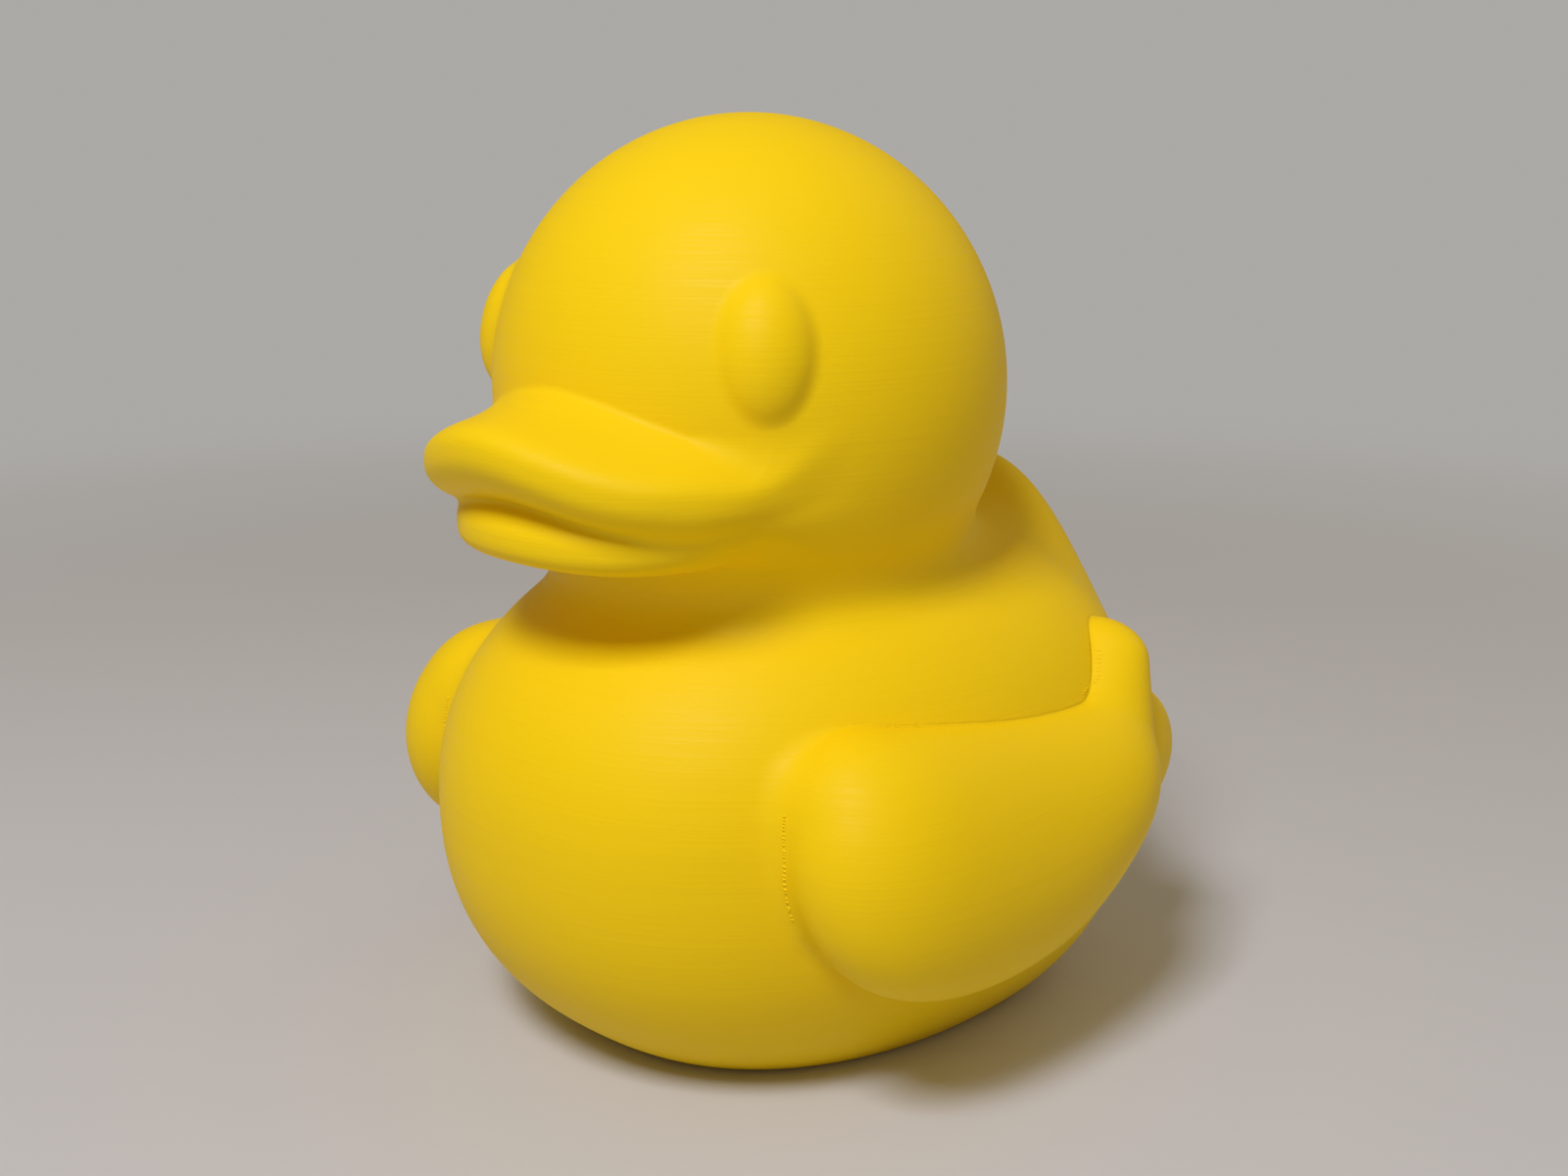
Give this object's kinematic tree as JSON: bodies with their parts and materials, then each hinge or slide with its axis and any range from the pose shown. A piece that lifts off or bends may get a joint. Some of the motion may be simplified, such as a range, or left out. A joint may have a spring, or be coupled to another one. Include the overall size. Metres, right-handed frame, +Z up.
{
  "type": "printed duck figure",
  "caption": "One-piece 3-D printed bath-duck figure with a round head, open bill, raised oval eyes, curled wings and an upright tail, standing on a flat base.",
  "frame": {"origin": "centre of the overall box, on the flat base that stood on the print bed", "axes": "+Z up along the figure's height, -Y the way the bill points, +X the duck's left side"},
  "size_m": [0.1704, 0.1716, 0.1992],
  "materials": {
    "yellow_plastic": "Matte yellow printing filament with very fine level layer lines, a soft sheen and no paint."
  },
  "bodies": {
    "root": {"duck": "yellow_plastic"}
  },
  "joints": []
}
